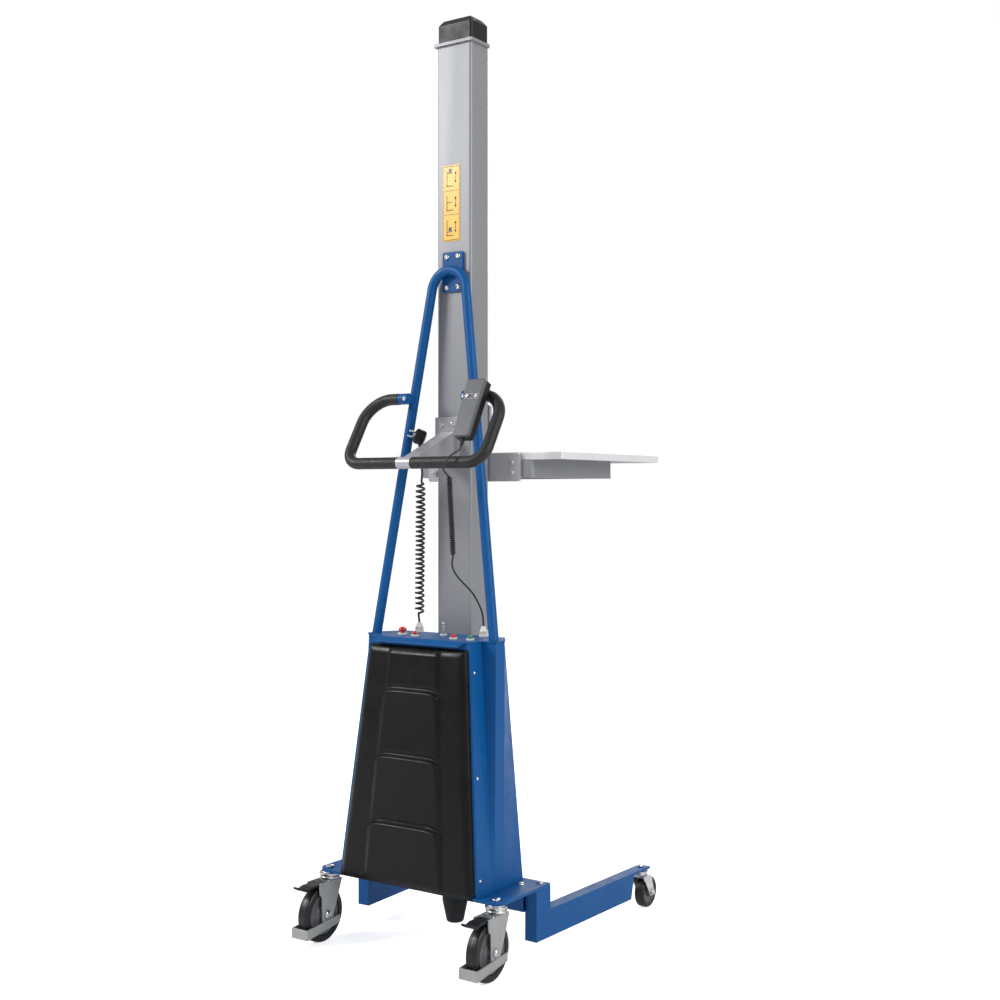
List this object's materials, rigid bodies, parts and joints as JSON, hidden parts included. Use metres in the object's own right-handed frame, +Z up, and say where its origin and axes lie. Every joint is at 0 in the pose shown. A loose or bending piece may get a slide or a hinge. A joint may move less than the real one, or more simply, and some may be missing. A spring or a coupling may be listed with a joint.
{
  "type": "battery work positioner",
  "caption": "Wheeled battery lift with a mast, tubular push frame, corded handset, straddle legs on castors and a load platform that slides up the mast.",
  "frame": {"origin": "on the floor, under the middle of the machine's footprint", "axes": "+X is the operator's right, +Y points forwards to the load, +Z is up"},
  "size_m": [0.5438, 0.811, 2.082],
  "materials": {
    "frame_blue": "satin powder coat",
    "mast_silver": "satin silver grey paint",
    "zinc": "bright zinc plate",
    "steel": "machined steel",
    "bracket_silver": "silver paint",
    "cap_black": "fine grained plastic",
    "grip_black": "soft foam sleeve",
    "pad_black": "padded black cover",
    "label_yellow": "printed plate",
    "stop_red": "gloss",
    "lamp_red": "clear lens",
    "cream": "moulded plastic",
    "handset_grey": "moulded plastic",
    "key_dark": "rubber key",
    "inner_grey": "cast housing",
    "inner_black": "plastic case",
    "belt_black": "toothed belt",
    "tyre_grey": "grey tread on a plastic core",
    "tray_steel": "pale silver paint",
    "cord_black": "flexible lead"
  },
  "bodies": {
    "base": {"base_plate": "frame_blue", "cross_beam": "frame_blue", "left_leg": "frame_blue", "right_leg": "frame_blue", "housing_shell": "frame_blue", "housing_front": "frame_blue", "top_panel": "frame_blue", "back_pad": "pad_black", "housing_rivets": "zinc", "drive_motor": "inner_black", "gearbox": "inner_grey", "pulley_axle": "steel", "lift_belt": "belt_black", "battery_pack": "inner_black", "control_unit": "inner_black", "mast_tube": "mast_silver", "mast_collar": "mast_silver", "mast_cap": "cap_black", "label_plate": "label_yellow", "a_frame": "frame_blue", "frame_screws": "zinc", "handlebar_tube": "zinc", "handle_grips": "grip_black", "handle_bracket": "bracket_silver", "handle_clamps": "frame_blue", "handset_body": "handset_grey", "handset_face": "handset_grey", "handset_holder": "cap_black", "panel_bezels": "cream", "lamp_lenses": "lamp_red", "cord_glands": "cream", "handset_lead": "cord_black", "handset_coil": "cord_black", "handset_tail": "cord_black", "charger_plug": "cap_black", "charger_lead": "cord_black", "charger_coil": "cord_black", "charger_tail": "cord_black", "caster_heads": "zinc"},
    "carriage": {"carriage_plate": "bracket_silver", "carriage_glides": "cream", "platform_frame": "bracket_silver", "platform_tray": "tray_steel", "carriage_bolts": "zinc"},
    "drive_pulley": {"drive_pulley": "steel"},
    "idler_pulley": {"idler_pulley": "steel"},
    "stop_button": {"stop_button": "stop_red"},
    "toggle": {"toggle_switch": "zinc"},
    "up_button": {"up_button": "key_dark"},
    "down_button": {"down_button": "key_dark"},
    "rear_left_swivel": {"rear_left_fork": "zinc"},
    "rear_left_wheel": {"rear_left_wheel": "tyre_grey"},
    "rear_right_swivel": {"rear_right_fork": "zinc"},
    "rear_right_wheel": {"rear_right_wheel": "tyre_grey"},
    "front_left_swivel": {"front_left_fork": "zinc"},
    "front_left_wheel": {"front_left_wheel": "tyre_grey"},
    "front_right_swivel": {"front_right_fork": "zinc"},
    "front_right_wheel": {"front_right_wheel": "tyre_grey"},
    "rear_left_pedal": {"rear_left_pedal": "cap_black"},
    "rear_right_pedal": {"rear_right_pedal": "cap_black"}
  },
  "joints": [
    {"name": "lift_slide", "type": "slide", "parent": "base", "child": "carriage", "axis": [0, 0, 1], "range_m": [-0.86, 0.62]},
    {"name": "drive_pulley_turn", "type": "hinge", "parent": "base", "child": "drive_pulley", "pos_m": [0, -0.1085, 0.2], "axis": [0, 1, 0], "range_deg": [-1500, 2000]},
    {"name": "idler_pulley_turn", "type": "hinge", "parent": "base", "child": "idler_pulley", "pos_m": [0, -0.1085, 1.96], "axis": [0, 1, 0], "range_deg": [-1500, 2000]},
    {"name": "stop_button_press", "type": "slide", "parent": "base", "child": "stop_button", "axis": [0, 0, -1], "range_m": [0, 0.004], "stiffness_N_per_m": 500, "springref_m": -0.001},
    {"name": "toggle_tilt", "type": "hinge", "parent": "base", "child": "toggle", "pos_m": [0.005, -0.1845, 0.682], "axis": [1, 0, 0], "range_deg": [-15, 15]},
    {"name": "up_button_press", "type": "slide", "parent": "base", "child": "up_button", "axis": [0, 0.8988, -0.4384], "range_m": [0, 0.0015], "stiffness_N_per_m": 300, "springref_m": -0.001},
    {"name": "down_button_press", "type": "slide", "parent": "base", "child": "down_button", "axis": [0, 0.8988, -0.4384], "range_m": [0, 0.0015], "stiffness_N_per_m": 300, "springref_m": -0.001},
    {"name": "rear_left_turn", "type": "hinge", "parent": "base", "child": "rear_left_swivel", "pos_m": [-0.228, -0.3015, 0.14], "axis": [0, 0, 1], "continuous": true},
    {"name": "rear_left_roll", "type": "hinge", "parent": "rear_left_swivel", "child": "rear_left_wheel", "pos_m": [-0.228, -0.3335, 0.0625], "axis": [1, 0, 0], "continuous": true},
    {"name": "rear_right_turn", "type": "hinge", "parent": "base", "child": "rear_right_swivel", "pos_m": [0.228, -0.3015, 0.14], "axis": [0, 0, 1], "continuous": true},
    {"name": "rear_right_roll", "type": "hinge", "parent": "rear_right_swivel", "child": "rear_right_wheel", "pos_m": [0.228, -0.3335, 0.0625], "axis": [1, 0, 0], "continuous": true},
    {"name": "front_left_turn", "type": "hinge", "parent": "base", "child": "front_left_swivel", "pos_m": [-0.25139, 0.27973, 0.09], "axis": [0, 0, 1], "continuous": true},
    {"name": "front_left_roll", "type": "hinge", "parent": "front_left_swivel", "child": "front_left_wheel", "pos_m": [-0.25139, 0.30573, 0.0375], "axis": [1, 0, 0], "continuous": true},
    {"name": "front_right_turn", "type": "hinge", "parent": "base", "child": "front_right_swivel", "pos_m": [0.25139, 0.27973, 0.09], "axis": [0, 0, 1], "continuous": true},
    {"name": "front_right_roll", "type": "hinge", "parent": "front_right_swivel", "child": "front_right_wheel", "pos_m": [0.25139, 0.30573, 0.0375], "axis": [1, 0, 0], "continuous": true},
    {"name": "rear_left_brake", "type": "hinge", "parent": "rear_left_swivel", "child": "rear_left_pedal", "pos_m": [-0.228, -0.3465, 0.129], "axis": [1, 0, 0], "range_deg": [0, 15]},
    {"name": "rear_right_brake", "type": "hinge", "parent": "rear_right_swivel", "child": "rear_right_pedal", "pos_m": [0.228, -0.3465, 0.129], "axis": [1, 0, 0], "range_deg": [0, 15]}
  ],
  "couplings": [
    {"joint": "drive_pulley_turn", "follows": "lift_slide", "rad_per_m": -37.31},
    {"joint": "idler_pulley_turn", "follows": "lift_slide", "rad_per_m": -37.31}
  ]
}
